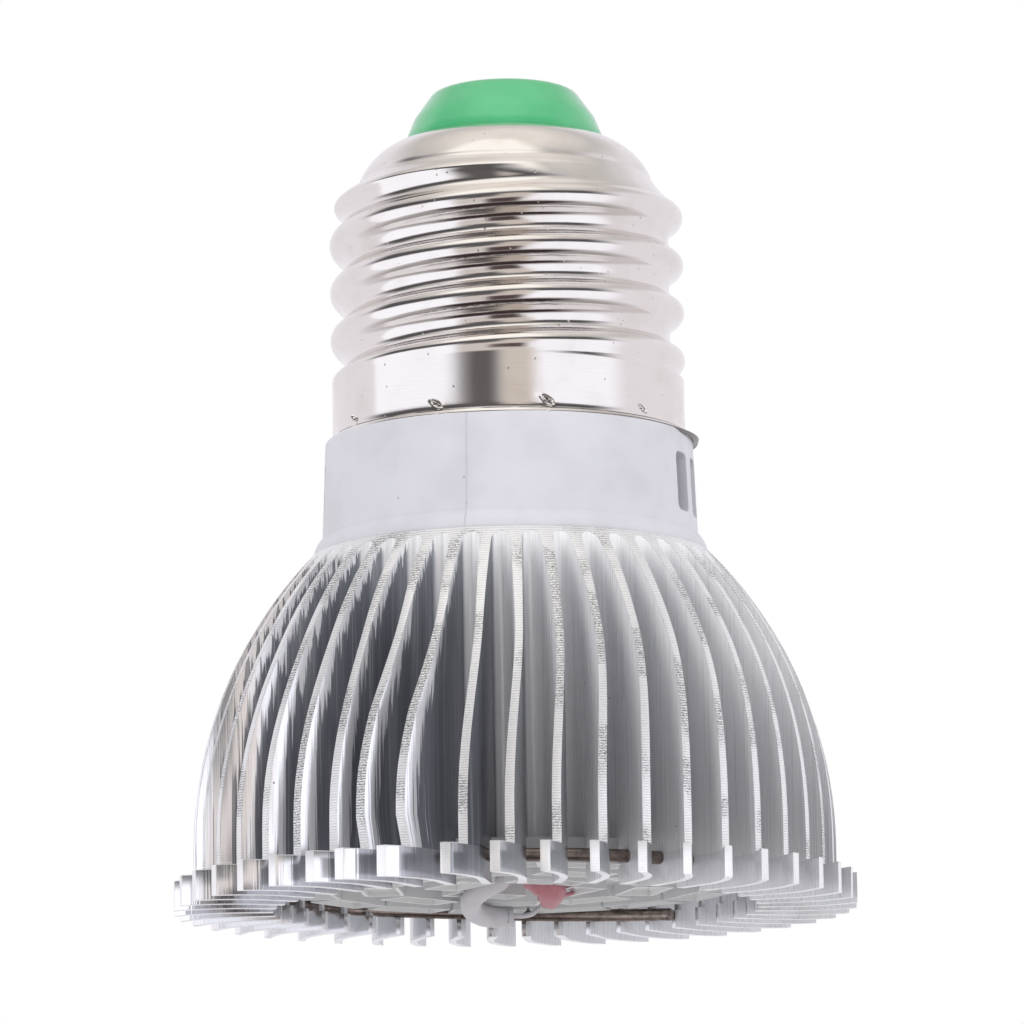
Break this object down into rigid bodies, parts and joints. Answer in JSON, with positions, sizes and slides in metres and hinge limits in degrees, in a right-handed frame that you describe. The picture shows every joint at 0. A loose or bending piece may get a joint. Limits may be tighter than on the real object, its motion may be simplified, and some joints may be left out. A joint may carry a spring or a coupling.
{
  "type": "grow light bulb",
  "caption": "LED grow bulb with a screw cap, a white collar, a dome heat sink of swept fins and an open front with a round light board.",
  "frame": {"origin": "centre of the rim plane, on the lamp's axis", "axes": "+Z along the lamp's axis, from the open front up to the cap's contact; +X to the right and -Y towards the viewer of the picture"},
  "size_m": [0.0502, 0.0502, 0.0616],
  "materials": {
    "sink_aluminium": "extruded flanks, turned fin edges",
    "board_white": "white solder mask on an aluminium plate",
    "led_package": "white package with a phosphor window",
    "snap_steel": "dark drawn spring wire",
    "insulation_white": "soft lead insulation",
    "insulation_red": "soft lead insulation",
    "solder": "dull solder",
    "collar_white": "satin moulded plastic",
    "cap_nickel": "nickel plate on rolled metal",
    "insulator_green": "gloss moulded plastic",
    "contact_metal": "tinned contact",
    "panel_green": "circuit board laminate",
    "ferrite": "ferrite",
    "coil_tape": "yellow coil tape",
    "can_sleeve": "dark printed-free sleeve",
    "film_box": "dipped film capacitor",
    "chip_black": "moulded chip",
    "resistor_body": "lacquered resistor",
    "wire_cover": "wire insulation"
  },
  "bodies": {
    "root": {"bridge_rectifier": "chip_black", "cap_insulator": "insulator_green", "cap_shell": "cap_nickel", "centre_contact": "contact_metal", "collar_housing": "collar_white", "driver_board": "panel_green", "driver_chip": "chip_black", "film_capacitor": "film_box", "fuse_resistor": "resistor_body", "heat_sink": "sink_aluminium", "inductor": "can_sleeve", "input_capacitor": "can_sleeve", "lead_red": "insulation_red", "lead_white": "insulation_white", "led_01": "led_package", "led_02": "led_package", "led_03": "led_package", "led_04": "led_package", "led_05": "led_package", "led_06": "led_package", "led_07": "led_package", "led_08": "led_package", "led_09": "led_package", "led_10": "led_package", "led_11": "led_package", "led_12": "led_package", "led_13": "led_package", "led_14": "led_package", "led_15": "led_package", "led_16": "led_package", "led_17": "led_package", "led_18": "led_package", "led_19": "led_package", "led_20": "led_package", "led_21": "led_package", "led_22": "led_package", "led_23": "led_package", "led_24": "led_package", "led_25": "led_package", "led_26": "led_package", "led_27": "led_package", "led_28": "led_package", "led_board": "board_white", "output_capacitor": "can_sleeve", "snap_ring": "snap_steel", "solder_red": "solder", "solder_white": "solder", "transformer_core": "ferrite", "transformer_winding": "coil_tape", "wire_contact": "wire_cover", "wire_shell": "wire_cover"}
  },
  "joints": []
}
